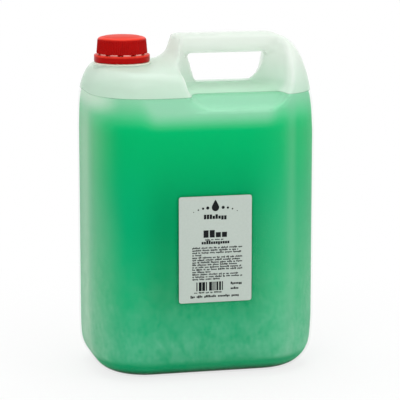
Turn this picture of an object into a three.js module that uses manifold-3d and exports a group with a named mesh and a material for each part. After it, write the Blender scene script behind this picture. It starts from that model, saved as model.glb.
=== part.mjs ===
// A five litre jerrycan of liquid hand soap: a blow moulded can with a handle through its top, the soap
// inside it, a screw cap with its sealing wad and tamper ring, and a paper label on the front.
// Millimetres, +Z up, front towards -Y, origin on the ground under the middle of the can.
import * as THREE from "three";
import { mergeVertices } from "three/addons/utils/BufferGeometryUtils.js";
import Module from "manifold-3d";

const wasm = await Module();
wasm.setup();

// Can
const canWidth = 188;
const canDepth = 132;
const canHeight = 278;
const wall = 1.2;
const cornerRadius = 47; // upright corners, seen from above
const footRadius = 25; // edge between the base and the sides
const handleRise = 23.6; // top of the handle above the shoulder
const shoulderReach = 16; // rounding of the shoulder, inwards
const shoulderDrop = 37; // rounding of the shoulder, downwards, at the sides and below the handle
const shoulderFaceDrop = 15; // and on the faces beside the cap
const shoulderTurn = 0.8; // it has its full drop from this part of the corner on
const shoulderCrown = 3; // the shoulder is domed by this beside the cap, from face to face
const handleFootFlat = 12; // under the handle's outer end it has a higher dome, this much of it flat
const handleFootDome = 30;
const baseDish = 3; // the middle of the base is raised by this
const baseRim = 12; // flat ring that the can stands on

// Handle: its faces close in towards the top, and its outer end rounds off to the side
const handleFlat = 12; // depth of its flat top
const handleDrop = 76; // height over which its faces close in
const handleEndReach = 30;
const handleEndDrop = 66;
const postGap = 14; // from the tamper ring to the post, at the shoulder
const postLean = 6.5; // the post leans away from the cap by this over its height
const postNose = 45; // how far its round nose reaches, seen from above
const postFlare = 9; // its foot spreads out by this
const postFlareHeight = 9;

// Finger window through the handle, and the grip pocket round it on both faces
const barHeight = 15.6; // handle bar above the window
const barDepth = 32;
const barCorner = 6;
const windowHeight = 25.1;
const sillDrop = 18; // the sill under the window is domed by this from the middle to the faces
const sillDepth = 0.5; // the pocket is cut this far below the sill's crown
const windowSide = 11.1; // from the top of the post to the window, in the middle plane
const windowLean = 6.5; // the window's side by the post slants in by this
const windowCorner = 4;
const windowEnd = 34.5; // from the window to the side of the can, in the middle plane
const windowSweep = 26; // its outer lower corner is one wide arc
const windowSweepRise = 24;
const windowFloor = 4; // least straight stretch between its lower corners
const pocketSide = 14.5; // the rim at the face lies outside the window by this beside the post
const pocketEnd = 9.5; // and by this at the outer end
const pocketFoot = 14.5; // and by this below
const pocketRimRadius = 26;
const pocketRimLean = 1;
const pocketReach = 42; // it has its full width at this distance from the middle plane

// Neck and closure
const capInset = 33; // cap axis from the side of the can
const neckRadius = 18.4;
const neckWall = 2;
const neckChamfer = 0.6;
const collarMargin = 0.5; // the collar under the ring is wider than the ring by this
const collarHeight = 1.7;
const collarDraft = 1;
const ringHeight = 6;
const ringWall = 2.7; // outside the neck's bead
const ringEdge = 0.9; // chamfer of its outer edges
const ringLipHeight = 3.2; // the lower lip, which reaches in under the bead
const ringLipClearance = 0.9;
const beadHeight = 1.6; // the neck's bead, which keeps the ring on
const beadDepth = 1.5;
const beadDraft = 0.3;
const capSkirt = 1.7; // the cap's side wall, over the ribs
const capDraft = 0.8; // the cap is narrower by this at its top edge
const capHeight = 13.8; // from the ring to the top edge
const capWall = 1.5; // its top
const capDome = 1.4;
const capEdge = 2; // rounding of the top edge
const capClearance = 0.8; // between the neck and the inside of the cap, where the thread runs
const ribCount = 72;
const ribDepth = 0.45;
const linerThickness = 1.2;
const fitGap = 0.3; // between pieces that touch

// Contents and label
const fillDrop = 21.4; // soap level below the shoulder
const labelWidth = 60.5;
const labelHeight = 87.5;
const labelBottom = 65.6;
const labelShift = 2; // the label sits this far towards the handle
const labelThickness = 0.15;
const labelSeat = 0.45; // the face is set back by this behind the label
const labelMargin = 1.5; // the set back panel is this much larger all round
const labelCorner = 2;

const arcSteps = 8;
const ringSteps = 48;
const labelArcSteps = 3;
const dishArcSteps = 4;
const edgeSteps = 6; // in the rounding of the foot and of the shoulder
const flareSteps = 4;
const pocketSteps = 14; // through the depth
const blendSteps = 4;
const beyond = 20; // how far a cutting body runs past the surface it opens

const shoulderZ = canHeight - handleRise;
const capX = -canWidth / 2 + capInset;
const beadRadius = neckRadius + beadDepth;
const ringRadius = beadRadius + fitGap + ringWall;
const capInside = neckRadius + capClearance;
const capRadius = capInside + capSkirt;
const collarRadius = ringRadius + collarMargin;
const ringZ = shoulderZ + collarHeight + fitGap;
const beadZ = ringZ + ringLipHeight + fitGap;
const capZ = ringZ + ringHeight + fitGap;
const capTopZ = capZ + capHeight;
const linerZ = capTopZ - capWall - fitGap - linerThickness;
const neckTopZ = linerZ - fitGap;
const postFootX = capX + ringRadius + postGap;
const postTopX = postFootX + postLean;
const pocketRimX = postTopX + windowSide - pocketSide;
const pocketFarX = canWidth / 2 - windowEnd + pocketEnd;
const pocketMiddleX = (pocketRimX + pocketFarX) / 2;
const windowTopZ = canHeight - barHeight;
const windowBottomZ = windowTopZ - windowHeight;
const fillZ = shoulderZ - fillDrop;

// A closed geometry as a solid that can be cut and joined.
function solid(geometry) {
  const bare = geometry.clone();
  bare.deleteAttribute("normal");
  bare.deleteAttribute("uv");
  const merged = mergeVertices(bare, 1e-4);
  return new wasm.Manifold(
    new wasm.Mesh({
      numProp: 3,
      vertProperties: merged.attributes.position.array,
      triVerts: new Uint32Array(merged.index.array),
    }),
  );
}

// A solid as a named mesh.
function mesh(name, body, look) {
  const made = body.getMesh();
  const geometry = new THREE.BufferGeometry();
  geometry.setAttribute("position", new THREE.BufferAttribute(made.vertProperties, made.numProp));
  geometry.setIndex(new THREE.BufferAttribute(made.triVerts, 1));
  geometry.computeVertexNormals();
  const piece = new THREE.Mesh(geometry, new THREE.MeshStandardMaterial(look));
  piece.name = name;
  return piece;
}

// A rectangle with rounded corners, centred on the origin. Its two long sides get a point at each of
// the places given.
function roundedRectangle(width, height, radius, places = []) {
  const x = width / 2;
  const y = height / 2;
  const shape = new THREE.Shape()
    .moveTo(x, y - radius)
    .absarc(x - radius, y - radius, radius, 0, Math.PI / 2);
  for (const place of places.toReversed()) shape.lineTo(place, y);
  shape
    .absarc(radius - x, y - radius, radius, Math.PI / 2, Math.PI)
    .absarc(radius - x, radius - y, radius, Math.PI, Math.PI * 1.5);
  for (const place of places) shape.lineTo(place, -y);
  return shape.absarc(x - radius, radius - y, radius, Math.PI * 1.5, Math.PI * 2);
}

// An upright body between two heights, with its ends drawn in along a quarter ellipse. Where a share
// is given, it is the part of the upper drop that is used at a place.
function pillow(shape, low, high, reach, drop, x = 0, share = () => 1) {
  const geometry = new THREE.ExtrudeGeometry(shape, {
    depth: high - low - 2 * drop,
    curveSegments: arcSteps,
    bevelSize: reach,
    bevelThickness: drop,
    bevelOffset: -reach,
    bevelSegments: edgeSteps,
  });
  geometry.translate(x, 0, low + drop);
  const place = geometry.attributes.position;
  for (let i = 0; i < place.count; i++) {
    const below = high - place.getZ(i);
    if (below < drop + 1e-3) place.setZ(i, high - below * share(place.getX(i), place.getY(i)));
  }
  return solid(geometry);
}

// An outline drawn in X and Z, as a body of the given depth about the plane y, moved by x and z.
function frontal(shape, depth, place = [0, 0, 0], curveSegments = arcSteps) {
  const geometry = new THREE.ExtrudeGeometry(shape, { depth, curveSegments, bevelEnabled: false });
  geometry.translate(0, 0, -depth / 2).rotateX(Math.PI / 2);
  return solid(geometry.translate(...place));
}

// An outline drawn in Y and Z, as a body of the given length about the middle plane.
function sideways(shape, length) {
  const geometry = new THREE.ExtrudeGeometry(shape, {
    depth: length,
    curveSegments: arcSteps + 2,
    bevelEnabled: false,
  });
  return solid(geometry.translate(0, 0, -length / 2).rotateX(Math.PI / 2).rotateZ(Math.PI / 2));
}

// A turned body about the cap's axis. Each point is a radius and a height.
function turned(points) {
  const profile = points.map(([radius, z]) => new THREE.Vector2(radius, z));
  const geometry = new THREE.LatheGeometry(profile, ringSteps);
  return solid(geometry.rotateX(Math.PI / 2).translate(capX, 0, 0));
}

// The can seen from the side, with its faces closing in along quarter ellipses to a flat top.
function domedSection(top, drop, flatTop, inset) {
  const face = canDepth / 2 - inset;
  const flat = flatTop / 2;
  return new THREE.Shape()
    .moveTo(-face, -beyond)
    .lineTo(face, -beyond)
    .absellipse(flat, top - drop, face - flat, drop - inset, 0, Math.PI / 2)
    .absellipse(-flat, top - drop, face - flat, drop - inset, Math.PI / 2, Math.PI);
}

// The space that the handle may fill beside the cap: a half round nose, seen from above, that leans
// away from the cap and spreads at its foot.
function postNoseBody(inset) {
  const half = canDepth / 2 + 1;
  const tip = postFootX + inset;
  const plan = new THREE.Shape()
    .moveTo(tip + postNose, -half)
    .lineTo(canWidth, -half)
    .lineTo(canWidth, half)
    .lineTo(tip + postNose, half)
    .absellipse(tip + postNose, 0, postNose, half - inset, Math.PI / 2, Math.PI * 1.5);
  const levels = [-shoulderDrop];
  for (let i = 0; i <= flareSteps; i++) levels.push(postFlareHeight * (i / flareSteps) ** 2);
  levels.push(handleRise + beyond);
  const geometry = new THREE.ExtrudeGeometry(plan, {
    depth: levels.length - 1,
    steps: levels.length - 1,
    curveSegments: 2 * arcSteps,
    bevelEnabled: false,
  });
  const place = geometry.attributes.position;
  for (let i = 0; i < place.count; i++) {
    const above = levels[Math.round(place.getZ(i))];
    const spread = Math.min(1, Math.max(0, 1 - above / postFlareHeight));
    const shift = (postLean * above) / handleRise - postFlare * spread ** 2;
    place.setXYZ(i, place.getX(i) + shift, place.getY(i), shoulderZ + above);
  }
  return solid(geometry);
}

// The handle with no window: round in plan, closing in towards its top.
function handleBlock(inset) {
  const left = postFootX - postNose;
  const plan = roundedRectangle(canWidth / 2 - left - 2 * inset, canDepth - 2 * inset, cornerRadius - inset);
  return pillow(
    plan,
    -beyond - handleEndDrop,
    canHeight - inset,
    handleEndReach - inset,
    handleEndDrop - inset,
    (canWidth / 2 + left) / 2,
  )
    .intersect(sideways(domedSection(canHeight, handleDrop, handleFlat, inset), 2 * canWidth))
    .intersect(postNoseBody(inset));
}

// The outline of the grip pocket: open at the top, with its side by the post slanting in below the
// bar. Outlines with other sizes have the same number of points in the same order.
function pocketOutline(left, right, bottom, lean, corner, sweep, rise) {
  const top = canHeight + beyond;
  return new THREE.Shape()
    .moveTo(right, top)
    .lineTo(left, top)
    .lineTo(left, windowTopZ)
    .lineTo(left + lean, bottom + corner)
    .quadraticCurveTo(left + lean, bottom, left + lean + corner, bottom)
    .lineTo(right - sweep, bottom)
    .absellipse(right - sweep, bottom + rise, sweep, rise, -Math.PI / 2, 0)
    .extractPoints(arcSteps).shape;
}

// The space of the pocket through the whole depth. It is narrowest in the middle plane, where it has
// the window's outline, and opens in a sine curve to the rim's outline.
function pocketBody(margin) {
  const left = postTopX + windowSide - margin;
  const right = canWidth / 2 - windowEnd + margin;
  const bottom = windowBottomZ - margin - sillDepth;
  const sweep = Math.min(windowSweep, right - left - windowLean - windowCorner - windowFloor);
  const middle = pocketOutline(left, right, bottom, windowLean, windowCorner, sweep, windowSweepRise);
  const rim = pocketOutline(
    left - pocketSide,
    right + pocketEnd,
    bottom - pocketFoot,
    pocketRimLean,
    pocketRimRadius,
    pocketRimRadius,
    pocketRimRadius,
  );
  const half = canDepth / 2 + 1;
  const geometry = new THREE.ExtrudeGeometry(new THREE.Shape(rim), {
    depth: pocketSteps,
    steps: pocketSteps,
    bevelEnabled: false,
  });
  const place = geometry.attributes.position;
  for (let i = 0; i < place.count; i++) {
    const at = rim.findIndex((p) => Math.hypot(p.x - place.getX(i), p.y - place.getY(i)) < 1e-3);
    const y = half * ((2 * place.getZ(i)) / pocketSteps - 1);
    const share = Math.sin((Math.PI / 2) * Math.min(1, Math.abs(y) / pocketReach));
    const point = middle[at].clone().lerp(rim[at], share);
    place.setXYZ(i, point.x, point.y, y);
  }
  return solid(geometry.rotateX(Math.PI / 2));
}

// The domed top of the can under the window, seen from the side.
function sillSection(inset) {
  const face = canDepth / 2 - inset;
  const start = windowBottomZ - sillDrop;
  return new THREE.Shape()
    .moveTo(-face, -beyond)
    .lineTo(face, -beyond)
    .absellipse(0, start, face, sillDrop - inset, 0, Math.PI);
}

// The handle bar, seen from the side, with round lower corners. It runs past the top of the can.
function barSection(inset) {
  const half = barDepth / 2 - inset;
  const low = windowTopZ + inset;
  const corner = barCorner - inset;
  const top = canHeight + 2 * beyond;
  return new THREE.Shape()
    .moveTo(half, top)
    .lineTo(-half, top)
    .absarc(corner - half, low + corner, corner, Math.PI, Math.PI * 1.5)
    .absarc(half - corner, low + corner, corner, Math.PI * 1.5, Math.PI * 2);
}

// The part of the shoulder's full drop that is used at a place. It is least on the faces beside the
// cap, and grows round the corners to the sides, and from the pocket's rim to the pocket's middle.
function shoulderShare(x, y) {
  const out = Math.max(0, Math.abs(x) - canWidth / 2 + cornerRadius);
  const forward = Math.max(1e-6, Math.abs(y) - canDepth / 2 + cornerRadius);
  const round = Math.atan2(out, forward) / (Math.PI / 2); // 0 on a face, 1 on a side
  const along = Math.min(1, Math.max(0, (x - pocketRimX) / (pocketMiddleX - pocketRimX)));
  const least = shoulderFaceDrop / shoulderDrop;
  return least + (1 - least) * Math.max(Math.min(1, round / shoulderTurn) ** 2, along);
}

// The crowned top of the can beside the cap, seen from the side.
function crownSection(inset) {
  const face = canDepth / 2 - inset;
  return new THREE.Shape()
    .moveTo(-face, -beyond)
    .lineTo(face, -beyond)
    .absellipse(0, shoulderZ - shoulderCrown - inset, face, shoulderCrown, 0, Math.PI);
}

// The can up to its shoulder. Its two domes meet inside the pocket, where they are cut away.
function shoulderBody(inset) {
  const blend = [];
  for (let i = 0; i <= blendSteps; i++) {
    blend.push(THREE.MathUtils.lerp(pocketRimX, pocketMiddleX, i / blendSteps));
  }
  const plan = roundedRectangle(
    canWidth - 2 * inset,
    canDepth - 2 * inset,
    cornerRadius - inset,
    blend,
  );
  const meet = (pocketRimX + pocketMiddleX) / 2;
  const beside = sideways(crownSection(inset), 2 * canWidth).translate([meet - canWidth, 0, 0]);
  const under = sideways(
    domedSection(shoulderZ, handleFootDome, handleFootFlat, inset),
    2 * canWidth,
  ).translate([meet + canWidth, 0, 0]);
  return pillow(
    plan,
    -beyond - shoulderDrop,
    shoulderZ - inset,
    shoulderReach - inset,
    shoulderDrop - inset,
    0,
    shoulderShare,
  ).intersect(beside.add(under));
}

// The whole form of the can without its neck, set in by the given amount on every side.
function canForm(inset) {
  const plan = roundedRectangle(canWidth - 2 * inset, canDepth - 2 * inset, cornerRadius - inset);
  const foot = footRadius - inset;
  const standing = pillow(plan, inset, canHeight + beyond + foot, foot, foot);
  const opening = pocketBody(inset)
    .subtract(sideways(sillSection(inset), 2 * canWidth))
    .subtract(sideways(barSection(inset), 2 * canWidth));
  const dishEdge = 2 * (footRadius + baseRim - inset);
  const dish = new THREE.ExtrudeGeometry(
    roundedRectangle(
      canWidth - dishEdge,
      canDepth - dishEdge,
      cornerRadius - footRadius - baseRim + inset,
    ),
    { depth: baseDish + beyond, curveSegments: dishArcSteps, bevelEnabled: false },
  ).translate(0, 0, inset - beyond);
  return standing
    .intersect(shoulderBody(inset).add(handleBlock(inset)))
    .subtract(opening)
    .subtract(solid(dish));
}

function bottle() {
  const neck = turned([
    [0, shoulderZ - beyond / 2],
    [collarRadius - collarDraft, shoulderZ - beyond / 2],
    [collarRadius, shoulderZ + collarHeight],
    [neckRadius, shoulderZ + collarHeight],
    [neckRadius, beadZ],
    [beadRadius, beadZ],
    [beadRadius - beadDraft, beadZ + beadHeight],
    [neckRadius, beadZ + beadHeight],
    [neckRadius, neckTopZ - neckChamfer],
    [neckRadius - neckChamfer, neckTopZ],
    [0, neckTopZ],
  ]);
  const bore = turned([
    [0, shoulderZ - beyond],
    [neckRadius - neckWall, shoulderZ - beyond],
    [neckRadius - neckWall, neckTopZ + beyond],
    [0, neckTopZ + beyond],
  ]);
  const panel = frontal(
    roundedRectangle(labelWidth + 2 * labelMargin, labelHeight + 2 * labelMargin, labelCorner + labelMargin),
    2 * labelSeat,
    [labelShift, -canDepth / 2, labelBottom + labelHeight / 2],
    labelArcSteps,
  );
  return canForm(0).subtract(panel).add(neck).subtract(canForm(wall)).subtract(bore);
}

function liquid() {
  const below = solid(
    new THREE.BoxGeometry(2 * canWidth, 2 * canDepth, canHeight).translate(0, 0, fillZ - canHeight / 2),
  );
  return canForm(wall + fitGap).intersect(below);
}

function tamperRing() {
  const lip = neckRadius + ringLipClearance;
  const inside = beadRadius + fitGap;
  const top = ringZ + ringHeight;
  return turned([
    [lip, ringZ],
    [ringRadius - ringEdge, ringZ],
    [ringRadius, ringZ + ringEdge],
    [ringRadius, top - ringEdge],
    [ringRadius - ringEdge, top],
    [inside, top],
    [inside, ringZ + ringLipHeight],
    [lip, ringZ + ringLipHeight],
    [lip, ringZ],
  ]);
}

// The cap's outside is a ring of shallow grip ribs with a smooth domed top.
function cap() {
  const ribs = [];
  for (let i = 0; i < 2 * ribCount; i++) {
    const angle = (Math.PI * i) / ribCount;
    const radius = capRadius - (i % 2 ? ribDepth : 0);
    ribs.push(new THREE.Vector2(radius * Math.cos(angle), radius * Math.sin(angle)));
  }
  const grip = new THREE.ExtrudeGeometry(new THREE.Shape(ribs), {
    depth: capHeight + capDome,
    bevelEnabled: false,
  });
  const topRadius = capRadius - capDraft;
  const place = grip.attributes.position;
  for (let i = 0; i < place.count; i++) {
    const draft = place.getZ(i) > 0 ? topRadius / capRadius : 1;
    place.setXYZ(i, draft * place.getX(i), draft * place.getY(i), place.getZ(i));
  }
  grip.translate(capX, 0, capZ);
  const crown = turned([
    [0, capZ - beyond],
    [topRadius + capEdge, capZ - beyond],
    [topRadius + capEdge, capTopZ - 2 * capEdge],
    [topRadius - capEdge / 3, capTopZ - capEdge / 3],
    [topRadius - capEdge, capTopZ],
    [topRadius / 2, capTopZ + capDome * 0.75],
    [0, capTopZ + capDome],
  ]);
  const hollow = turned([
    [0, capZ - beyond],
    [capInside, capZ - beyond],
    [capInside, capTopZ - capWall],
    [0, capTopZ - capWall],
  ]);
  return solid(grip).intersect(crown).subtract(hollow);
}

function capLiner() {
  return turned([
    [0, linerZ],
    [capInside - fitGap, linerZ],
    [capInside - fitGap, linerZ + linerThickness],
    [0, linerZ + linerThickness],
  ]);
}

function frontLabel() {
  const middle = -canDepth / 2 + labelSeat - fitGap - labelThickness / 2;
  return frontal(
    roundedRectangle(labelWidth, labelHeight, labelCorner),
    labelThickness,
    [labelShift, middle, labelBottom + labelHeight / 2],
    labelArcSteps,
  );
}

const group = new THREE.Group();
group.add(
  mesh("bottle", bottle(), { color: 0xdde8df, roughness: 0.4, metalness: 0 }),
  mesh("liquid_soap", liquid(), { color: 0x00a862, roughness: 0.1, metalness: 0 }),
  mesh("tamper_ring", tamperRing(), { color: 0xc00808, roughness: 0.35, metalness: 0 }),
  mesh("cap", cap(), { color: 0xc80a0a, roughness: 0.35, metalness: 0 }),
  mesh("cap_liner", capLiner(), { color: 0xf0f0ec, roughness: 0.7, metalness: 0 }),
  mesh("front_label", frontLabel(), { color: 0xd8dcd8, roughness: 0.6, metalness: 0 }),
);

export default group;
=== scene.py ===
# %% [markdown]
# # A jerrycan of hand soap
# The object is a five litre can of milky, see-through polyethylene, blown in a mould with its handle
# and neck in one piece. Green soap stands in it up to the shoulder. A red screw cap with a tamper
# band closes it, and a paper label is stuck on its front. The lesson builds each of these around a
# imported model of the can, which gives every place and size.

import math
import random

import bmesh
import bpy
from mathutils import Matrix, Vector


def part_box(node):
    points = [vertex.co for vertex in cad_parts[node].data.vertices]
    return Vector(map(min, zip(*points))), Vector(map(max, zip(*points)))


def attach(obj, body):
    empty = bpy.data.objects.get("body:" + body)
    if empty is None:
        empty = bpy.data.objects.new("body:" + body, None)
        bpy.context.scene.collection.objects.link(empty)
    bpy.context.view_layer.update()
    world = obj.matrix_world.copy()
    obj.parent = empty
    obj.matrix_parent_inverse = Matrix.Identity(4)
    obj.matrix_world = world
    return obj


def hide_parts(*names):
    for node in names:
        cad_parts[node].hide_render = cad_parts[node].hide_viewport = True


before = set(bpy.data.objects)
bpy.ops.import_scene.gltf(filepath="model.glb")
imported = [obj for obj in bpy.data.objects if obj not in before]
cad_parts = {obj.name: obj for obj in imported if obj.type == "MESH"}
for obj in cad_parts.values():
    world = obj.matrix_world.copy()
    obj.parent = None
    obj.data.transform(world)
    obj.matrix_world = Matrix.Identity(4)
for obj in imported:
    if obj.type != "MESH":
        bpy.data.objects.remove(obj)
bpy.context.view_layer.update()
mm = 0.001
print("nodes:", sorted(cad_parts))

# %% [markdown]
# ## The camera
# The photograph was taken from a little above and a little to the left, with a long lens, so upright
# edges stay upright. The camera could be placed by eye, but two angles, a distance and a point in the
# can are easier to match to a picture, so the place is worked out from those.

# %% Camera
view_turn = math.radians(13.3)
view_rise = math.radians(10.4)
view_distance = 1786 * mm
target = Vector((4.5, -1.1, 138.1)) * mm
forward = Vector(
    (
        math.cos(view_rise) * math.sin(view_turn),
        math.cos(view_rise) * math.cos(view_turn),
        -math.sin(view_rise),
    )
)
camera_data = bpy.data.cameras.new("camera")
camera_data.sensor_width = 36
camera_data.lens = 192.2
camera = bpy.data.objects.new("camera", camera_data)
camera.location = target - view_distance * forward
camera.rotation_euler = forward.to_track_quat("-Z", "Y").to_euler()
bpy.context.scene.collection.objects.link(camera)
bpy.context.scene.camera = camera
print("camera at", [round(c, 3) for c in camera.location])

# %% [markdown]
# ## Nodes and colours
# A material is a net of nodes. It could be drawn in the editor, but written down it can be read and
# changed. One helper adds any node with its settings and links, and gives back its output for the
# next node to take. Colours are written as the hex values that the eye sees on a screen, and one
# function turns them into the linear values that light is reckoned in.


# %% Helpers for materials
def linear(hex_colour):
    channels = [int(hex_colour[i : i + 2], 16) / 255 for i in (1, 3, 5)]
    return [c / 12.92 if c <= 0.04045 else ((c + 0.055) / 1.055) ** 2.4 for c in channels] + [1]


def add_node(material, kind, *values, take=None, **fields):
    """Add a node and give back its output called take, or else the first one in use.

    The values fill its inputs in their order. A field in small letters is a setting of the node, and
    any other field is an input by its name, with underscores for spaces.
    """
    tree = material.node_tree
    node = tree.nodes.new("ShaderNode" + kind)
    for field in [name for name in fields if name.islower()]:
        setattr(node, field, fields.pop(field))
    sockets = [socket for socket in node.inputs if socket.enabled][: len(values)]
    sockets += [node.inputs[name.replace("_", " ")] for name in fields]
    for socket, value in zip(sockets, [*values, *fields.values()]):
        if isinstance(value, bpy.types.NodeSocket):
            tree.links.new(value, socket)
        else:
            socket.default_value = value
    in_use = [socket for socket in node.outputs if socket.enabled]
    if take:
        return node.outputs[take]
    return in_use[0] if in_use else None


# Settings that come up again and again
soft_step = {"interpolation_type": "SMOOTHSTEP"}
times = {"operation": "MULTIPLY"}
plus = {"operation": "ADD"}
minus = {"operation": "SUBTRACT"}
size_of = {"operation": "ABSOLUTE"}
greater = {"operation": "MAXIMUM"}
power = {"operation": "POWER"}
colours = {"data_type": "RGBA"}


def new_material(name):
    material = bpy.data.materials.new(name)
    material.use_nodes = True
    material.node_tree.nodes.clear()
    return material


def place_on(material):
    """The point on the object, in metres, and then its X, Y and Z one by one."""
    where = add_node(material, "TexCoord", take="Object")
    return where, *add_node(material, "SeparateXYZ", where).node.outputs


def finish_material(material, surface):
    add_node(material, "OutputMaterial", surface)
    print(material.name, "has", len(material.node_tree.nodes), "nodes")
    return material


print("half way grey is", [round(c, 3) for c in linear("#808080")[:3]], "in linear values")


# %% [markdown]
# ## Light, floor and backdrop
# The object stands in soft light from all sides, as on a light table. More lamps could make the
# background white, but they would bleach the can too. So the world is white to the camera and to
# mirrors, and dimmer where it lights the object. The floor is pale, holds a faint shadow close to the
# can, and goes over to plain white further out.

# %% World
world = bpy.data.worlds.new("studio")
bpy.context.scene.world = world
world.use_nodes = True
world.node_tree.nodes.clear()
ambient = 0.52


def seen_ray(material):
    """1 for what the camera sees straight, or through glass, or in a mirror."""
    rays = add_node(material, "LightPath").node.outputs
    seen = add_node(material, "Math", rays["Is Camera Ray"], rays["Is Transmission Ray"], **greater)
    return add_node(material, "Math", seen, rays["Is Glossy Ray"], **greater)


strength = add_node(world, "MapRange", seen_ray(world), 0, 1, ambient, 1)
sky = add_node(world, "Background", Color=linear("#FFFFFF"), Strength=strength)
add_node(world, "OutputWorld", sky)
bpy.context.scene.view_settings.view_transform = "Standard"
print("the world lights the object with", ambient)


# %% Lamps
def softbox(name, place, size, watts):
    """A square lamp that looks at the middle of the can."""
    data = bpy.data.lights.new(name, "AREA")
    data.size = size
    data.energy = watts
    lamp = bpy.data.objects.new(name, data)
    lamp.location = place
    lamp.rotation_euler = (target - Vector(place)).to_track_quat("-Z", "Y").to_euler()
    bpy.context.scene.collection.objects.link(lamp)
    print(name, "lamp,", watts, "W at", place)


softbox("key", (-0.9, -1.5, 1.3), 0.9, 10.5)
softbox("fill", (1.4, -1.1, 0.7), 1.0, 7.5)
softbox("top", (0.0, 0.2, 1.7), 1.1, 12.5)

# %% Floor
floor_radius = 6
shadow_end = 0.08
white_start = 0.4


def paper_sweep():
    look = new_material("matte_white_paper_sweep")
    where = add_node(look, "TexCoord", take="Object")
    far = add_node(look, "VectorMath", where, operation="LENGTH")
    whiteness = add_node(look, "MapRange", far, shadow_end, white_start, 0.8, 1, **soft_step)
    share = add_node(look, "Math", whiteness, seen_ray(look), **times)
    paper = add_node(look, "BsdfPrincipled", Base_Color=linear("#F2F2F2"), Roughness=0.9)
    white = add_node(look, "Emission", Color=linear("#FFFFFF"), Strength=1.0)
    return finish_material(look, add_node(look, "MixShader", share, paper, white))


floor_shape = bmesh.new()
bmesh.ops.create_circle(floor_shape, cap_ends=True, segments=96, radius=floor_radius)
floor_mesh = bpy.data.meshes.new("floor")
floor_shape.to_mesh(floor_mesh)
floor_shape.free()
floor = bpy.data.objects.new("floor", floor_mesh)
bpy.context.scene.collection.objects.link(floor)
floor_mesh.materials.append(paper_sweep())

# %% [markdown]
# ## Places on the can
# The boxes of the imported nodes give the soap's level, the neck's axis and the cap's height. The grip
# pocket is a hollow in the front and in the back, beside and below the handle's bar. Its outline is a
# box with rounded lower corners. Several finishes need to know where it is, and they could read
# painted masks, but a few sums on the place of the point are sharp at any size and need no picture.

# %% Places
soap_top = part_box("liquid_soap")[1].z
cap_low, cap_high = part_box("cap")
ring_low, ring_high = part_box("tamper_ring")
axis_x = (cap_low.x + cap_high.x) / 2
shoulder_z = 254.4 * mm
neck_side = -36 * mm
pocket_left = -21.0 * mm
pocket_right = 69.0 * mm
pocket_low = 222.3 * mm
pocket_round = 26.0 * mm
pocket_middle = (pocket_left + pocket_right) / 2
print("soap level", round(soap_top / mm, 1), "mm, neck axis at", round(axis_x / mm, 1), "mm")


# %% Masks for the grip pocket
def pocket_rim(look, where):
    """1 on the grip pocket's outline, 0 a few millimetres away from it."""
    open_height = 100 * mm
    endless = 1
    straight_x = (pocket_right - pocket_left) / 2 - pocket_round
    straight_z = open_height / 2 - pocket_round
    middle = Vector((pocket_middle, 0, pocket_low + open_height / 2))
    point = add_node(look, "VectorMath", where, middle, **minus)
    point = add_node(look, "VectorMath", point, **size_of)
    point = add_node(look, "VectorMath", point, (straight_x, endless, straight_z), **minus)
    point = add_node(look, "VectorMath", point, (0, 0, 0), **greater)
    reach = add_node(look, "VectorMath", point, operation="LENGTH")
    off = add_node(look, "Math", reach, pocket_round, **minus)
    off = add_node(look, "Math", off, **size_of)
    return add_node(look, "MapRange", off, 0.2 * mm, 3.8 * mm, 1, 0, **soft_step)


def in_pocket(look, x, y, z):
    """1 on what lies well behind the front face, or before the back one, within the grip pockets."""
    off_middle = add_node(look, "Math", x, pocket_middle, **minus)
    off_middle = add_node(look, "Math", off_middle, **size_of)
    within = add_node(look, "MapRange", off_middle, 50 * mm, 40 * mm, **soft_step)
    off_plane = add_node(look, "Math", y, **size_of)
    behind = add_node(look, "MapRange", off_plane, 64 * mm, 56 * mm, **soft_step)
    under_bar = add_node(look, "MapRange", z, 269 * mm, 260 * mm, **soft_step)
    inside = add_node(look, "Math", within, behind, **times)
    return add_node(look, "Math", inside, under_bar, **times)


print("grip pocket", round((pocket_right - pocket_left) / mm, 1), "mm wide")

# %% [markdown]
# ## Natural polyethylene
# The can is HDPE without pigment, blown against a sandblasted steel mould. It is milky, because its
# crystals scatter light, and satin, because the mould's grain is pressed into it. A volume could
# scatter the light, but it is slow and noisy in so thin a wall, so three surfaces are mixed: a satin
# one, one that lets light on to the inside, so that the hollow handle glows and has no dark side, and
# a clear one. Where soap lies against the wall, the wall nearly vanishes: the soap wets it, and its
# own green shows through. Just above the soap, the dry wall is painted a little greener, as painted
# light from the soap. A pale line is painted along the rim of the grip pocket: a painted highlight on
# its crease, where the plastic is also a little thicker. The neck and the collar are thick, and show as
# solid cream.

# %% Milky wall
# The mould's real grain is about 0.1 mm, too fine to show, so it is drawn 1.11 mm wide.
wall_grain = 1.11 * mm
# The blown wall is uneven by a hair, in waves about 36 mm wide.
wall_wave = 35.7 * mm
milk_dry = 0.66
milk_in_pocket = 0.5
milk_wet = 0.04
milk_neck = 0.92


def wall_milk(look, wet, rim, neck, pocket):
    """How much of the light stays in the wall. The rest goes straight through."""
    dry = add_node(look, "Math", 1.0, wet, **minus)
    milk = add_node(look, "MapRange", pocket, 0, 1, milk_dry, milk_in_pocket, **soft_step)
    milk = add_node(look, "Math", dry, milk, **times)
    milk = add_node(look, "Math", milk, milk_wet, **greater)
    milk = add_node(look, "Math", milk, add_node(look, "Math", rim, 0.06, **times), **plus)
    return add_node(look, "Math", milk, add_node(look, "Math", neck, milk_neck, **times), **greater)


def wall_bump(look, where):
    grain = add_node(look, "TexNoise", where, Scale=1 / wall_grain, Detail=3.0)
    waves = add_node(look, "TexNoise", where, Scale=1 / wall_wave, Detail=1.0)
    relief = add_node(look, "Math", add_node(look, "Math", grain, 0.03, **times), waves, **plus)
    return add_node(look, "Bump", Height=relief, Distance=0.25 * mm, Strength=0.6)


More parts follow.
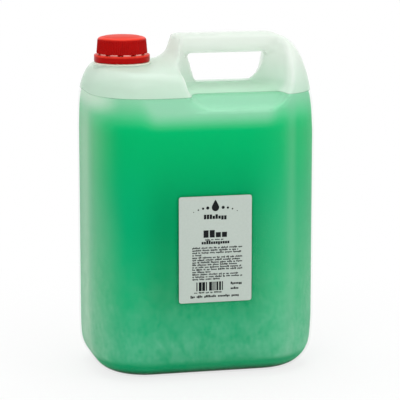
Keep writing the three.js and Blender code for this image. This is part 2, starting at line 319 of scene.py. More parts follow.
def natural_hdpe():
    look = new_material("natural_HDPE_blow_moulded")
    where, x, y, z = place_on(look)
    wet = add_node(look, "MapRange", z, soap_top + 0.6 * mm, soap_top - 0.6 * mm, **soft_step)
    # Painted light: the dry wall within 30 mm above the soap is tinted green, as if lit by the soap.
    painted_soap_glow = add_node(look, "MapRange", z, soap_top + 30 * mm, soap_top, **soft_step)
    off_middle = add_node(look, "Math", y, **size_of)
    outer = add_node(look, "MapRange", off_middle, 30 * mm, 45 * mm, **soft_step)
    # Painted highlight: a pale line along the grip pocket's rim stands for the highlight on its crease. The
    # plastic there is also a little thicker.
    rim = add_node(look, "Math", pocket_rim(look, where), outer, **times)
    thick = add_node(look, "MapRange", z, shoulder_z + 0.2 * mm, shoulder_z + 1.2 * mm, **soft_step)
    beside = add_node(look, "MapRange", x, neck_side + 1 * mm, neck_side - 1 * mm, **soft_step)
    neck = add_node(look, "Math", thick, beside, **times)

    dry_colour = add_node(look, "Mix", painted_soap_glow, linear("#F4F7F3"), linear("#E6F4EA"), **colours)
    rim_highlight_colour = add_node(look, "Mix", wet, linear("#FDFEFC"), linear("#C8EED8"), **colours)
    colour = add_node(look, "Mix", wet, dry_colour, linear("#10A868"), **colours)
    colour = add_node(look, "Mix", rim, colour, rim_highlight_colour, **colours)
    colour = add_node(look, "Mix", neck, colour, linear("#FBF3E4"), **colours)

    plastic = add_node(
        look,
        "BsdfPrincipled",
        Base_Color=colour,
        Roughness=0.34,
        IOR=1.54,
        Normal=wall_bump(look, where),
    )
    glowing = add_node(look, "BsdfTranslucent", Color=colour)
    through = add_node(look, "MapRange", neck, 0, 1, 0.5, 0.2, **soft_step)
    milky = add_node(look, "MixShader", through, plastic, glowing)
    clear = add_node(look, "BsdfTransparent")
    milk = wall_milk(look, wet, rim, neck, in_pocket(look, x, y, z))
    return finish_material(look, add_node(look, "MixShader", milk, clear, milky))


hdpe = natural_hdpe()

# %% [markdown]
# ## Green soap
# Liquid soap with a pearly agent looks opaque and flat. Light comes in through its top and its upright
# corners, so it is pale there and deep green in the middle. A volume could do this by itself, slowly.
# A plain surface is quick and clean, and each thing that the light does is one more colour mixed in,
# by the height and the place of the point, as painted light and painted shade. The pale band of painted
# light under the level is deepest below the grip pocket, and palest at the corner below the cap. In the
# pocket, painted shade stands for the shadow of the post and the bar of the handle. Further down, a
# mottled wash of painted light lies over the green, thickest near the foot, then painted shade darkens
# the soap where the can curves in under itself. The soap's top face is painted pale, as lit from above.

# %% Where the soap is painted pale
# The painted light is mottled in streaks, which are drawn out upwards, and in wider clouds.
streak_width = 3.03 * mm
cloud_width = 13.33 * mm


def soap_light_band(look, x, z):
    """How much painted light lies on the soap under its level: most at the top, 0 below the band."""
    depth = add_node(look, "Math", soap_top, z, **minus)
    off_middle = add_node(look, "Math", x, **size_of)
    side = add_node(look, "MapRange", off_middle, 40 * mm, 66 * mm, **soft_step)
    low = add_node(look, "MapRange", side, 0, 1, 10 * mm, -6 * mm, **soft_step)
    high = add_node(look, "MapRange", side, 0, 1, 28 * mm, 26 * mm, **soft_step)
    return add_node(look, "MapRange", depth, low, high, 0.82, 0, **soft_step)


def soap_side_light(look, x, y, z):
    """How much painted light lies on the soap towards its upright corners."""
    reach = add_node(look, "MapRange", x, -68 * mm, -94 * mm)
    sharp = add_node(look, "MapRange", z, 175 * mm, 115 * mm, 3.2, 1.9, **soft_step)
    left = add_node(look, "Math", add_node(look, "Math", reach, sharp, **power), 0.42, **times)
    off_middle = add_node(look, "Math", y, **size_of)
    middle = add_node(look, "MapRange", off_middle, 34 * mm, 4 * mm, 0, 0.33, **soft_step)
    edge = add_node(look, "Math", add_node(look, "Math", reach, 6.0, **power), middle, **times)
    reach = add_node(look, "MapRange", x, 20 * mm, 88 * mm)
    sharp = add_node(look, "MapRange", z, 195 * mm, 120 * mm, 3.0, 1.3, **soft_step)
    most = add_node(look, "MapRange", z, 190 * mm, 60 * mm, 0.13, 0.24, **soft_step)
    right = add_node(look, "Math", add_node(look, "Math", reach, sharp, **power), most, **times)
    both = add_node(look, "Math", left, edge, **plus)
    return add_node(look, "Math", both, right, **plus)


def light_mottle(look, where):
    """Clouds and upright streaks. The mean is about 1."""
    stretched = add_node(look, "Mapping", where, Scale=(1, 1, 0.45))
    streaks = add_node(look, "TexNoise", stretched, Scale=1 / streak_width, Detail=3.0, Roughness=0.6)
    clouds = add_node(look, "TexNoise", where, Scale=1 / cloud_width, Detail=5.0, Roughness=0.65)
    mottle = add_node(look, "Math", add_node(look, "Math", streaks, 0.6, **times), clouds, **plus)
    return add_node(look, "MapRange", mottle, 0.5, 1.1, 0.25, 1.75)


print("streaks", round(streak_width / mm, 1), "mm wide, clouds", round(cloud_width / mm, 1), "mm")


# %% Soap colour
def soap_depth(look, x, z):
    """The soap's green, painted brighter near the level, towards the sides and low down, where light comes
    in, and deepest in the middle of the can.
    """
    deep = add_node(look, "MapRange", z, 214 * mm, 125 * mm, **soft_step)
    bright = add_node(look, "MapRange", z, 200 * mm, 222 * mm, **soft_step)
    upper = add_node(look, "Mix", bright, linear("#00BC6F"), linear("#00CE7E"), **colours)
    off_middle = add_node(look, "Math", x, 6 * mm, **plus)
    off_middle = add_node(look, "Math", off_middle, **size_of)
    side = add_node(look, "MapRange", off_middle, 31 * mm, 66 * mm, **soft_step)
    lower = add_node(look, "Mix", side, linear("#00985F"), linear("#00B275"), **colours)
    low = add_node(look, "MapRange", z, 75 * mm, 40 * mm, 0, 0.6, **soft_step)
    lower = add_node(look, "Mix", low, lower, linear("#00AC76"), **colours)
    return add_node(look, "Mix", deep, upper, lower, **colours)


def pearly_soap():
    look = new_material("green_liquid_soap")
    where, x, y, z = place_on(look)
    mottle = light_mottle(look, where)
    # Painted light: a pale, mottled wash over the lower soap, thickest near the foot.
    low = add_node(look, "MapRange", z, 135 * mm, 28 * mm)
    lower_light = add_node(look, "Math", add_node(look, "Math", low, 2.0, **power), 0.15, **times)
    lower_light = add_node(look, "Math", lower_light, mottle, **times)
    uneven = add_node(look, "MapRange", z, 170 * mm, 60 * mm, 0, 0.35, **soft_step)
    uneven = add_node(look, "Math", uneven, add_node(look, "Math", mottle, 1.0, **minus), **times)
    uneven = add_node(look, "Math", uneven, 1.0, **plus)
    # Painted light towards the upright corners, made uneven by the mottle low down.
    sides = add_node(look, "Math", soap_side_light(look, x, y, z), uneven, **times)
    # Painted shade in the grip pockets, for the shadow of the handle's post and bar.
    shade = add_node(look, "Math", in_pocket(look, x, y, z), 0.6, **times)
    # Painted light at the left corner, just under the soap's level.
    corner = add_node(look, "MapRange", x, -72 * mm, -92 * mm, 0, 0.9, **soft_step)
    corner_light = add_node(look, "MapRange", z, soap_top - 17 * mm, soap_top, **soft_step)
    corner_light = add_node(look, "Math", corner, corner_light, **times)
    # Painted shade: the soap darkens towards the foot, with a dark line of painted shadow at the bottom
    # where the can curves in. The top face is painted pale, as lit from above.
    foot = add_node(look, "MapRange", z, 18 * mm, 12 * mm, 0, 0.85, **soft_step)
    contact_shadow = add_node(look, "MapRange", z, 10 * mm, 4 * mm, **soft_step)
    surface = add_node(look, "MapRange", z, soap_top - 0.3 * mm, soap_top - 0.05 * mm, **soft_step)

    colour = soap_depth(look, x, z)
    for share, tint in (
        (lower_light, "#B8EEDA"),
        (sides, "#C5E8CD"),
        (soap_light_band(look, x, z), "#AEE0C5"),
        (shade, "#93C9AC"),
        (corner_light, "#E6FAE8"),
        (foot, "#00A269"),
        (contact_shadow, "#004926"),
        (surface, "#BFE8CF"),
    ):
        colour = add_node(look, "Mix", share, colour, linear(tint), **colours)
    soap = add_node(
        look,
        "BsdfPrincipled",
        Base_Color=colour,
        Roughness=0.4,
        IOR=1.37,
        Specular_IOR_Level=0.05,
    )
    return finish_material(look, soap)


green_soap = pearly_soap()

# %% [markdown]
# ## Red polyethylene
# The closure is injection moulded polyethylene, dyed through, with a soft gloss and a faint grain. Its
# top is painted brighter than the double wall of the side: painted light, as the top is lit from above
# and the white wad shines back through its thin plastic. Its rounded upper edge and the thin upper edge
# of the tamper band get a painted highlight. Light that goes into the plastic would show part of this
# by itself, but needs far more samples, so the colour is mixed by the height of the point.

# %% Closure plastic
# The dye is not quite even, in clouds about 8 mm wide.
dye_cloud = 8.33 * mm
# The mould's polish marks are below 0.1 mm. They are drawn as coarse as they need to be to show.
polish_mark = 0.714 * mm


def red_polyethylene():
    look = new_material("red_polyethylene_injection_moulded")
    where, _, _, z = place_on(look)
    cloud = add_node(look, "TexNoise", where, Scale=1 / dye_cloud, Detail=2.0)
    # Painted light: the top and its rounded edge are drawn brighter, as lit from above, and the upper edge
    # of the band gets a painted highlight.
    top = add_node(look, "MapRange", z, cap_high.z - 3.4 * mm, cap_high.z - 1.8 * mm, **soft_step)
    crown = add_node(look, "MapRange", z, cap_high.z - 1.6 * mm, cap_high.z - 0.9 * mm, **soft_step)
    band_highlight = add_node(
        look, "MapRange", z, ring_high.z - 2.0 * mm, ring_high.z - 0.7 * mm, 0, 0.7, **soft_step
    )
    below_cap = add_node(look, "MapRange", z, ring_high.z + 0.3 * mm, ring_high.z, **soft_step)
    band_highlight = add_node(look, "Math", band_highlight, below_cap, **times)
    lit_parts = add_node(look, "Math", top, band_highlight, **greater)

    side_red = add_node(look, "Mix", cloud, linear("#A60907"), linear("#B80D0A"), **colours)
    edge_highlight_red = add_node(look, "Mix", cloud, linear("#EA3C2A"), linear("#F24634"), **colours)
    lit_crown_red = add_node(look, "Mix", cloud, linear("#D43A2C"), linear("#E04636"), **colours)
    painted_light_red = add_node(look, "Mix", crown, edge_highlight_red, lit_crown_red, **colours)
    colour = add_node(look, "Mix", lit_parts, side_red, painted_light_red, **colours)

    marks = add_node(look, "TexNoise", where, Scale=1 / polish_mark, Detail=2.0)
    plastic = add_node(
        look,
        "BsdfPrincipled",
        Base_Color=colour,
        Roughness=add_node(look, "MapRange", cloud, 0.3, 0.7, 0.3, 0.38, **soft_step),
        IOR=1.52,
        Specular_IOR_Level=add_node(look, "MapRange", crown, 0, 1, 0.06, 0.015, **soft_step),
        Normal=add_node(look, "Bump", Height=marks, Distance=0.03 * mm, Strength=0.5),
    )
    return finish_material(look, plastic)


red_plastic = red_polyethylene()

# %% [markdown]
# ## Foam, paper, ink and the bridges
# These four are dull and differ in little, so one function makes them from two close colours and a
# grain. The bridges between the cap and its band are drawn thin, and their pale pink is painted light:
# it stands for the light that shows through the groove between cap and band. The wad is white
# polyethylene foam, whose cells show as small pits. The label is uncoated paper, matte and slightly
# mottled, and its print is flat black ink without a gloss. A picture of paper could be used, but a
# noise has no seams and is sharp at any size.


# %% Dull finishes
def dull_finish(name, first, second, grain, relief, roughness, gloss=0.5):
    """A finish whose colour wanders between two close values, with a relief of the same pattern."""
    look = new_material(name)
    where = add_node(look, "TexCoord", take="Object")
    cloud = add_node(look, "TexNoise", where, Scale=1 / grain, Detail=5.0)
    plain = add_node(
        look,
        "BsdfPrincipled",
        Base_Color=add_node(look, "Mix", cloud, linear(first), linear(second), **colours),
        Roughness=roughness,
        Specular_IOR_Level=gloss,
        Normal=add_node(look, "Bump", Height=cloud, Distance=relief, Strength=0.5),
    )
    return finish_material(look, plain)


# The grain of ink is below 0.1 mm. It and the grain on the bridges are drawn as coarse as they need to be
# to show.
bridge_grain = 1.11 * mm
ink_grain = 0.833 * mm
# Foam cells are drawn at their real size, and paper as the small clumps that its fibres make.
foam_cell = 0.667 * mm
paper_flock = 1.43 * mm
# Painted light: the bridges are pale pink, for the light that shows through the groove above the band.
bridge_light_pink = dull_finish(
    "polyethylene_bridge_painted_light", "#E08A7E", "#EFAFA6", bridge_grain, 0.01 * mm, roughness=0.5
)
white_foam = dull_finish(
    "expanded_polyethylene_foam", "#F2F2EE", "#E4E4DF", foam_cell, 0.08 * mm, roughness=0.8
)
label_paper = dull_finish(
    "uncoated_label_paper", "#B2BEB5", "#C1CAC3", paper_flock, 0.02 * mm, roughness=0.75
)
black_ink = dull_finish(
    "black_letterpress_ink", "#0A0D0E", "#181C1D", ink_grain, 0.01 * mm, roughness=0.7, gloss=0.15
)

# %% [markdown]
# ## Working with shapes
# A few helpers carry a shape between the edit form, where the operators work, and a finished object.
# Two of them use a modifier and keep its result: an even skin of square faces laid over a rough
# shape, and the cut or join of two closed shapes. Live modifiers would also do, but later steps move
# the points that these make. Round parts are turned: half of their section is drawn once, and a full
# spin about the neck's axis makes the rest, as on a lathe.


# %% Helpers for shapes
def as_object(shape, name):
    mesh = bpy.data.meshes.new(name)
    shape.to_mesh(mesh)
    shape.free()
    made = bpy.data.objects.new(name, mesh)
    bpy.context.scene.collection.objects.link(made)
    return made


def after_modifiers(draft):
    """The draft object's shape with its modifiers applied. The draft is deleted."""
    bpy.context.view_layer.update()
    shown = draft.evaluated_get(bpy.context.evaluated_depsgraph_get())
    shape = bmesh.new()
    shape.from_mesh(shown.to_mesh())
    shown.to_mesh_clear()
    bpy.data.objects.remove(draft)
    return shape


def even_skin(shape, face_size):
    draft = as_object(shape, "draft")
    skin = draft.modifiers.new("skin", "REMESH")
    skin.mode = "VOXEL"
    skin.voxel_size = face_size
    return after_modifiers(draft)


def joined(first, second, operation):
    body = as_object(first, "draft")
    tool = as_object(second, "tool")
    cut = body.modifiers.new("cut", "BOOLEAN")
    cut.operation = operation
    cut.solver = "MANIFOLD"
    cut.object = tool
    result = after_modifiers(body)
    bpy.data.objects.remove(tool)
    return result


def soften(shape, rounds, verts=None):
    """Each round moves every chosen point half way to the middle of its neighbours."""
    chosen = list(verts or shape.verts)
    for _ in range(rounds):
        bmesh.ops.smooth_vert(
            shape, verts=chosen, factor=0.5, use_axis_x=True, use_axis_y=True, use_axis_z=True
        )


# %% Helpers for turned shapes
def arc(x, z, radius, start, end, steps=4):
    """Points of a round: its centre, its radius and its two angles in degrees."""
    angles = [math.radians(start + (end - start) * i / steps) for i in range(steps + 1)]
    return [(x + radius * math.cos(a), z + radius * math.sin(a)) for a in angles]


def turned(points, steps):
    """A closed shape turned about the neck's axis. A point is a radius and a height in millimetres."""
    shape = bmesh.new()
    verts = [shape.verts.new((axis_x + r * mm, 0, z * mm)) for r, z in points]
    edges = [shape.edges.new(pair) for pair in zip(verts, verts[1:])]
    bmesh.ops.spin(
        shape,
        geom=verts + edges,
        cent=(axis_x, 0, 0),
        axis=(0, 0, 1),
        angle=math.tau,
        steps=steps,
        use_merge=True,
    )
    bmesh.ops.remove_doubles(shape, verts=shape.verts, dist=1e-6)
    bmesh.ops.recalc_face_normals(shape, faces=shape.faces)
    return shape


def finished(shape, name, material, body, smooth=True):
    for face in shape.faces:
        face.smooth = smooth
    print(name, len(shape.faces), "faces")
    piece = as_object(shape, name)
    piece.data.materials.append(material)
    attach(piece, body)
    return piece


# %% [markdown]
# ## The outside of the can
# A blow moulded can has no sharp edge anywhere: the plastic is blown into the mould's corners and
# rounds them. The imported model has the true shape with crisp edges. Its outer surface is taken, its
# neck cut off and the hole closed, then it gets an even skin of small faces, and smoothing rounds
# every edge by a few millimetres. A bevel could round the edges too, but it fails where many short
# ones meet, as they do round the handle. The shoulder folds softly into the grip pocket, so that place
# is smoothed much longer, and the foot is smoothed less, because it is crisper. Last, the soap's
# weight presses the two narrow sides out, as the outline in the photograph shows.

# %% Outer surface
collar_radius = (ring_high.x - ring_low.x) / 2 + 0.5 * mm
neck_cut = shoulder_z - 6 * mm
skin_face = 2.0 * mm


def neck_faces(shape):
    reach = collar_radius + 0.1 * mm
    return [
        face
        for face in shape.faces
        if all(v.co.z > neck_cut and math.hypot(v.co.x - axis_x, v.co.y) < reach for v in face.verts)
    ]


def all_joined_to(vert):
    """Every point that edges lead to from this one."""
    reached, front = {vert}, [vert]
    while front:
        here = front.pop()
        for edge in here.link_edges:
            there = edge.other_vert(here)
            if there not in reached:
                reached.add(there)
                front.append(there)
    return reached


def outer_surface():
    shape = bmesh.new()
    shape.from_mesh(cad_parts["bottle"].data)
    bmesh.ops.remove_doubles(shape, verts=shape.verts, dist=2e-6)
    bmesh.ops.delete(shape, geom=neck_faces(shape), context="FACES")
    kept = all_joined_to(min(shape.verts, key=lambda v: v.co.z))
    bmesh.ops.delete(shape, geom=[v for v in shape.verts if v not in kept], context="VERTS")
    bmesh.ops.holes_fill(shape, edges=[e for e in shape.edges if e.is_boundary])
    open_edges = sum(e.is_boundary for e in shape.edges)
    print("rough outside", len(shape.faces), "faces, open edges", open_edges)
    return even_skin(shape, skin_face)


outside = outer_surface()

# %% Soft edges
foot_top = 14 * mm


def in_fold(vert):
    """On the front or the back, where the shoulder folds into the grip pocket."""
    x, y, z = vert.co / mm
    side, low = pocket_left / mm, pocket_low / mm
    return side - 19 < x < side + 20 and abs(y) > 32 and low < z < 266


soften(outside, 2)
soften(outside, 2, [v for v in outside.verts if v.co.z > foot_top])
soften(outside, 45, [v for v in outside.verts if in_fold(v)])
print("outside", len(outside.faces), "faces,", sum(map(in_fold, outside.verts)), "points in the fold")

# %% Bulge
bulge_left = 0.8 * mm
bulge_right = 2.1 * mm
bulge_low = 8 * mm


def bulge(shape):
    """Push the narrow sides out, fully over most of the soap's height and not at all at its ends."""
    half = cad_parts["bottle"].dimensions.x / 2
    for vert in shape.verts:
        height = (vert.co.z - bulge_low) / (soap_top - bulge_low)
        if 0 < height < 1:
            out = max(0, abs(vert.co.x) / half - 0.5) * 2
            out *= min(1, 2.2 * math.sin(math.pi * height))
            vert.co.x += bulge_right * out if vert.co.x > 0 else -bulge_left * out


bulge(outside)
print("width", round(max(v.co.x for v in outside.verts) - min(v.co.x for v in outside.verts), 4), "m")

# %% [markdown]
# ## The wall
# The wall is 1.2 mm thick, and the neck 2 mm. Thickening a skin could give a wall, but then the neck
# would be as thin as the rest, and tight folds could cross themselves. So the hollow inside is a
# coarser, smoother copy of the outside, with every point moved in along its normal, and taking it away
# leaves the shell.
# The neck is turned, with its bead and a rounded lip, and its thread is a small ridge spun along a
# helix. The neck is joined on before the hollow and the bore are cut.

# %% Neck
neck_radius = 18.4
bore_radius = 16.4
bead_radius = 19.9
lip_round = 0.6
collar_round = 0.7
collar_top = ring_low.z / mm - 0.3
bead_z = ring_low.z / mm + 3.5
neck_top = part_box("cap_liner")[0].z / mm - 0.3
turn_steps = 96


def neck_body():
    """The solid neck. Its bead has a flat foot that holds the band, and a sloping top."""
    rim = collar_radius / mm
    base = shoulder_z / mm - 12
    return turned(
        [(0, base), (rim - 0.8, base)]
        + arc(rim - collar_round, collar_top - collar_round, collar_round, 0, 90)
        + [(neck_radius + 0.4, collar_top), (neck_radius, collar_top + 0.4), (neck_radius, bead_z - 0.1)]
        + arc(bead_radius - 0.4, bead_z + 0.4, 0.4, -90, 0)
        + arc(bead_radius - 0.6, bead_z + 1.0, 0.6, 0, 90)
        + [(neck_radius + 0.2, bead_z + 1.6), (neck_radius, bead_z + 1.9)]
        + arc(neck_radius - lip_round, neck_top - lip_round, lip_round, 0, 90)
        + [(0, neck_top)],
        turn_steps,
    )


print("neck", round(2 * neck_radius, 1), "mm wide, its lip at", round(neck_top, 1), "mm")

# %% Thread
thread_pitch = 4.0
thread_turns = 2.2
thread_depth = 0.65
thread_root = -0.3
thread_start = bead_z + 3.0
thread_fade = 0.12


def thread():
    """A ridge along a right hand helix. Its ends fade into the neck over a part of a turn."""
    shape = bmesh.new()
    section = [(thread_root, -0.9), (thread_depth, -0.35), (thread_depth, 0.35), (thread_root, 0.9)]
    verts = [
        shape.verts.new((axis_x + (neck_radius + r) * mm, 0, (thread_start + z) * mm)) for r, z in section
    ]
    face = shape.faces.new(verts)
    bmesh.ops.spin(
        shape,
        geom=[face] + list(face.edges) + verts,
        cent=(axis_x, 0, 0),
        axis=(0, 0, 1),
        dvec=(0, 0, thread_pitch * mm / turn_steps),
        angle=math.tau * thread_turns,
        steps=round(turn_steps * thread_turns),
    )
    for vert in shape.verts:
        reach = math.hypot(vert.co.x - axis_x, vert.co.y) / mm - neck_radius
        turns = (vert.co.z / mm - thread_start) / thread_pitch
        height = min(1, max(0.02, min(turns, thread_turns - turns) / thread_fade))
        if reach > 0:
            scale = (neck_radius + reach * height) / (neck_radius + reach)
            vert.co.x = axis_x + (vert.co.x - axis_x) * scale
            vert.co.y *= scale
    bmesh.ops.recalc_face_normals(shape, faces=shape.faces)
    return shape


print("thread", thread_turns, "turns,", thread_pitch, "mm apart")

# %% Shell
wall = 1.2 * mm
hollow_face = 3.2 * mm


def moved_in(shape, distance):
    copy = shape.copy()
    copy.normal_update()
    for vert in copy.verts:
        vert.co -= vert.normal * distance
    return copy


def bore():
    """What is taken out of the neck, a little wider at its lip."""
    low = shoulder_z / mm - 8
    wide = bore_radius + 0.5
    above = neck_top + 3
    return turned(
        [(0, low), (bore_radius, low), (bore_radius, neck_top - 0.5), (wide, neck_top)]
        + [(wide, above), (0, above)],
        turn_steps,
    )


def shell():
    hollow = even_skin(outside.copy(), hollow_face)
    soften(hollow, 2)
    hollow = moved_in(hollow, wall)
    neck = joined(neck_body(), thread(), "UNION")
    body = joined(outside.copy(), neck, "UNION")
    return joined(joined(body, hollow, "DIFFERENCE"), bore(), "DIFFERENCE")


can = finished(shell(), "can_shell", hdpe, "can")
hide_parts("bottle")

# %% [markdown]
# ## The soap
# The soap fills the hollow up to its level, just clear of the wall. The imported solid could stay, but
# its crisp edges would show through the wall. So it is the outside's shape again, moved in a little
# more than the wall is thick, and cut off level.

# %% Soap body
soap_gap = 0.35 * mm


def soap_body():
    shape = moved_in(outside, wall + soap_gap)
    cut = bmesh.ops.bisect_plane(
        shape,
        geom=shape.verts[:] + shape.edges[:] + shape.faces[:],
        plane_co=(0, 0, soap_top),
        plane_no=(0, 0, 1),
        clear_outer=True,
    )
    rim = [e for e in cut["geom_cut"] if isinstance(e, bmesh.types.BMEdge)]
    bmesh.ops.holes_fill(shape, edges=rim)
    return shape


soap = finished(soap_body(), "soap_fill", green_soap, "can")
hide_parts("liquid_soap")

# %% [markdown]
# ## The tamper band
# The band stays on the neck when the cap comes off. A tube with bevelled edges would look the same
# from outside, but a turned section also gives the lip that reaches in under the neck's bead.

# %% Tamper band
ring_radius = (ring_high.x - ring_low.x) / 2 / mm
ring_base = ring_low.z / mm
ring_top = ring_high.z / mm
lip_height = 3.2


def tamper_band():
    lip = neck_radius + 0.9
    inside = bead_radius + 0.3
    lip_top = ring_base + lip_height
    outline = (
        [(lip, ring_base)]
        + arc(ring_radius - 0.9, ring_base + 0.9, 0.9, -90, 0)
        + arc(ring_radius - 0.8, ring_top - 0.8, 0.8, 0, 90)
        + [(inside, ring_top), (inside, lip_top), (lip, lip_top), (lip, ring_base)]
    )
    return turned(outline, steps=144)


band = finished(tamper_band(), "tamper_band", red_plastic, "can")
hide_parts("tamper_ring")

# %% [markdown]
# ## The cap
# The cap is turned with a soft upper edge and a slightly domed top. Fine upright ribs round its side
# give the fingers a hold. They could be a bump in the material, but then the cap's outline would stay
# smooth, so they are pressed into the turned side as a wave that fades out towards both edges. The
# lower edge is chamfered, so that the bridges show in the groove above the band.

# %% Cap section
cap_base = cap_low.z / mm
cap_crown = cap_high.z / mm
cap_radius = (cap_high.x - cap_low.x) / 2 / mm
cap_draft = 0.8
cap_edge_z = cap_crown - 1.4
edge_round = 2.9
top_wall = 1.5


def cap_section():
    top = cap_radius - cap_draft
    inside = neck_radius + 0.8
    under_top = cap_edge_z - top_wall
    side_low = cap_base + 1.4
    side_high = cap_edge_z - edge_round - 0.1
    side = [
        (cap_radius - cap_draft * share, side_low + (side_high - side_low) * share)
        for share in (0, 0.1, 0.3, 0.5, 0.7, 0.9, 1)
    ]
    dome = [(top * 0.72, cap_edge_z + 0.75), (top * 0.45, cap_edge_z + 1.2), (top * 0.2, cap_edge_z + 1.38)]
    return (
        [(0, under_top), (inside, under_top), (inside, cap_base)]
        + [(cap_radius - 1.1, cap_base), (cap_radius - 0.4, cap_base + 0.6)]
        + side
        + arc(top - edge_round, cap_edge_z - edge_round, edge_round, 0, 80, 8)
        + dome
        + [(0, cap_crown)]
    )


print("cap", round(2 * cap_radius, 1), "mm wide, its section has", len(cap_section()), "points")

# %% Cap with ribs
rib_count = 72
rib_depth = 0.7
smooth_top = cap_radius - cap_draft - 1.6


def part_way(value, start, end):
    """0 at the start and before it, 1 at the end and past it."""
    return min(1, max(0, (value - start) / (end - start)))


def cap_body():
    shape = turned(cap_section(), steps=6 * rib_count)
    for vert in shape.verts:
        x, y, z = vert.co.x - axis_x, vert.co.y, vert.co.z / mm
        radius = math.hypot(x, y) / mm
        ribbed = part_way(z, cap_base + 0.5, cap_base + 1.4)
        ribbed *= part_way(z, cap_edge_z - 1.2, cap_edge_z - 3.2)
        if radius < smooth_top or not ribbed:
            continue
        wave = 0.5 + 0.5 * math.cos(rib_count * math.atan2(y, x))
        scale = 1 - rib_depth * wave**0.7 * ribbed / radius
        vert.co.x, vert.co.y = axis_x + x * scale, y * scale
    return shape


cap = finished(cap_body(), "screw_cap", red_plastic, "cap")
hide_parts("cap")

# %% [markdown]
# ## The bridges
# Small webs join the band to the cap until the first opening. They are painted as pale pink bars in the
# groove, for the light that shows there.
# They could be cubes, but those would stand out of the round groove. Each is a small section spun
# through a few degrees, and so follows it. They belong to the band, and stay with it.

# %% Bridges
bridge_count = 12
bridge_turn = math.radians(17)
first_bridge = math.radians(-128)
bridge_low = ring_top - 0.5
bridge_high = cap_base + 0.75
bridge_inner = cap_radius - 1.4
bridge_outer = cap_radius - 0.12
bridge_chamfer = 0.3
bridge_section = (
    (bridge_inner, bridge_low),
    (bridge_outer, bridge_low),
    (bridge_outer, bridge_high - bridge_chamfer),
    (bridge_outer - bridge_chamfer, bridge_high),
    (bridge_inner, bridge_high),
)


def bridges():
    shape = bmesh.new()
    centre = Vector((axis_x, 0, 0))
    for i in range(bridge_count):
        turn = Matrix.Rotation(first_bridge + i * math.tau / bridge_count, 4, "Z")
        verts = [shape.verts.new(centre + turn @ (Vector((r, 0, z)) * mm)) for r, z in bridge_section]
        face = shape.faces.new(verts)
        bmesh.ops.spin(
            shape,
            geom=[face] + list(face.edges) + verts,
            cent=centre,
            axis=(0, 0, 1),
            angle=bridge_turn,
            steps=8,
        )
    bmesh.ops.recalc_face_normals(shape, faces=shape.faces)
    return shape


finished(bridges(), "band_bridges", bridge_light_pink, "can", smooth=False)

# %% [markdown]
# ## The wad and the label
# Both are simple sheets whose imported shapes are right, so they keep them and only get their finish.
# The label's print could be a picture laid on the paper, but slabs of ink stay sharp at any size, and
# go with the object to any program. They stand a little proud of the paper: a drop with bubbles at its
# head, blocks as titles, rows of dashes as small print, and a field of upright bars. Their places are
# in millimetres from the label's upper left corner.

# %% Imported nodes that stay
for name, material in (("cap_liner", white_foam), ("front_label", label_paper)):
    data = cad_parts[name].data
    data.materials.clear()
    data.materials.append(material)
    print(name, "is", material.name)

# %% Marks of ink
label_low, label_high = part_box("front_label")
label_middle = (label_high.x - label_low.x) / 2 / mm
ink_proud = 0.03 * mm
ink_sunk = 0.05 * mm
ink_thick = ink_proud + ink_sunk
pick = random.Random(5)
print_shape = bmesh.new()
print("label", round(2 * label_middle, 1), "mm wide, ink", round(ink_thick / mm, 2), "mm thick")


def on_label(across, down):
    """A point in the middle of the ink's thickness, from its place on the label in millimetres."""
    depth = label_low.y + (ink_sunk - ink_proud) / 2
    return Vector((label_low.x + across * mm, depth, label_high.z - down * mm))


def bar(left, top, width, height):
    size = (width * mm, ink_thick, height * mm, 1)
    place = Matrix.Translation(on_label(left + width / 2, top + height / 2)) @ Matrix.Diagonal(size)
    bmesh.ops.create_cube(print_shape, size=1, matrix=place)


def dot(across, down, radius, stretch=0.0):
    """A round mark. With a stretch, its upper half is drawn out to a point, as a drop is."""
    centre = on_label(across, down)
    upright = Matrix.Translation(centre) @ Matrix.Rotation(math.pi / 2, 4, "X")
    made = bmesh.ops.create_circle(
        print_shape, cap_ends=True, segments=32, radius=radius * mm, matrix=upright
    )["verts"]
    for vert in made:
        height = max(0, (vert.co.z - centre.z) / (radius * mm))
        vert.co.x = centre.x + (vert.co.x - centre.x) * (1 - 0.55 * stretch * height**2)
        vert.co.z += stretch * radius * mm * height**2
        vert.co.y = centre.y + ink_thick / 2
    face = next(f for f in made[0].link_faces if len(f.verts) == len(made))
    for item in bmesh.ops.extrude_face_region(print_shape, geom=[face])["geom"]:
        if isinstance(item, bmesh.types.BMVert):
            item.co.y -= ink_thick


# %% Words of ink
letter_width = 0.82
word_gap = 1.1


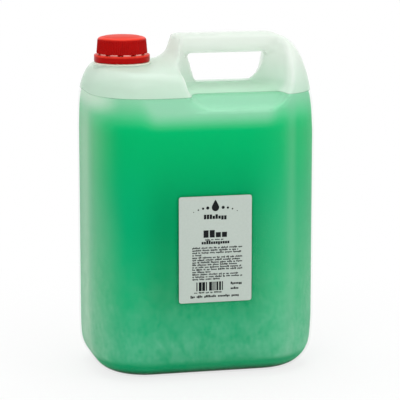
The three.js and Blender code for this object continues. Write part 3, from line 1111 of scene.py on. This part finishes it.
def word(left, base, letters, height, pitch):
    """A run of blocks on a base line. Some of them rise above the rest, as tall letters do."""
    for i in range(letters):
        rise = height * pick.choice((1.0, 1.0, 1.45))
        drop = height * pick.choice((0.0, 0.0, 0.0, 0.3))
        bar(left + i * pitch, base - rise, pitch * letter_width, rise + drop)


def small_line(left, right, base, height=0.95, pitch=0.84):
    """Words of small print from left to right."""
    place = left
    while place < right - pitch:
        letters = min(pick.randint(2, 9), int((right - place) / pitch))
        word(place, base, letters, height, pitch)
        place += (letters + word_gap) * pitch


# %% Label print
def label_head():
    """A drop between two rows of bubbles that get smaller and sink outwards."""
    dot(label_middle, 9.4, 3.1, stretch=1.0)
    for i, radius in enumerate((1.3, 0.95, 0.65, 0.4)):
        for side in (-1, 1):
            dot(label_middle + side * (6.4 + 3.9 * i), 9.6 + 0.35 * i * i, radius)


def label_titles():
    word(label_middle - 9.6, 18.8, 8, 2.6, 2.4)
    word(label_middle - 9.9, 34.0, 4, 4.2, 5.1)
    small_line(label_middle - 8.6, label_middle + 8.6, 36.2, 0.85, 1.0)
    word(label_middle - 11.5, 39.4, 12, 2.1, 1.95)


def small_print():
    """Fourteen lines with a ragged right edge. The short ones end a paragraph."""
    left, right, first_base, line_step = 11.0, 53.0, 43.0, 1.98
    ends = (right, right - 3, right - 1, left + 9, right, right - 2, right, right - 4)
    ends += (right - 1, right, left + 16, right - 2, right, left + 23)
    for i, end in enumerate(ends):
        small_line(left, end, first_base + line_step * i)


def bar_field():
    """Two groups of upright bars in three widths, with a row of small print below."""
    top, bottom = 70.6, 77.9
    for left, right in ((14.4, 23.4), (25.0, 37.0)):
        place = left
        while place < right:
            width = pick.choice((0.9, 1.6, 2.4))
            bar(place, top, min(width, right - place), bottom - top)
            place += width + pick.choice((0.45, 0.7, 1.1))
    small_line(12.5, 36.0, 79.8, 0.75, 0.95)


def label_foot():
    """Two words beside the bars, and a wider line of print along the lower edge."""
    for base, letters in ((73.4, 7), (77.6, 5)):
        word(43.0, base, letters, 1.4, 1.35)
    small_line(9.5, 51.0, 83.4, 1.35, 1.25)


label_head()
label_titles()
small_print()
bar_field()
label_foot()
bmesh.ops.recalc_face_normals(print_shape, faces=print_shape.faces)
finished(print_shape, "label_print", black_ink, "can", smooth=False)
